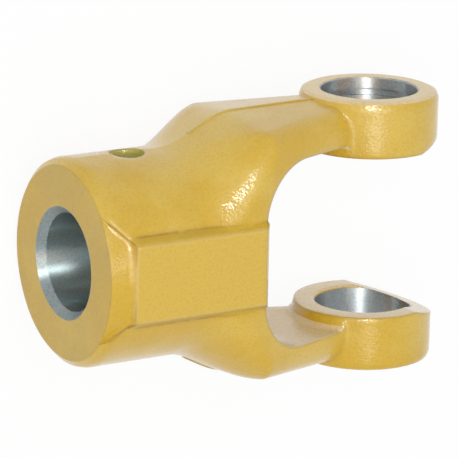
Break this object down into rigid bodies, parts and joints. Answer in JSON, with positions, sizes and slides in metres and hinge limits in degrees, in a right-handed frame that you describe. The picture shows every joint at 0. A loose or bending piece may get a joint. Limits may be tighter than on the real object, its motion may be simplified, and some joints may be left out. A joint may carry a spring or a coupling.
{
  "type": "forged yoke",
  "caption": "Forged yoke for a universal joint: round hub with shaft bore and cross pin hole, two ears bored on one axis for the cups of the cross, painted with bare machined bores.",
  "frame": {"origin": "joint centre: the middle of the gap, where the hub axis meets the cross axis", "axes": "+X along the hub axis from the hub towards the ear tips, +Y along the cross axis through both ears, +Z along the die direction; the yoke lies on the pad at its -Z side"},
  "size_m": [0.0943, 0.0624, 0.046],
  "materials": {
    "yellow_paint": "gloss paint over a rough forging"
  },
  "bodies": {
    "root": {"forged_yoke": "yellow_paint"}
  },
  "joints": []
}
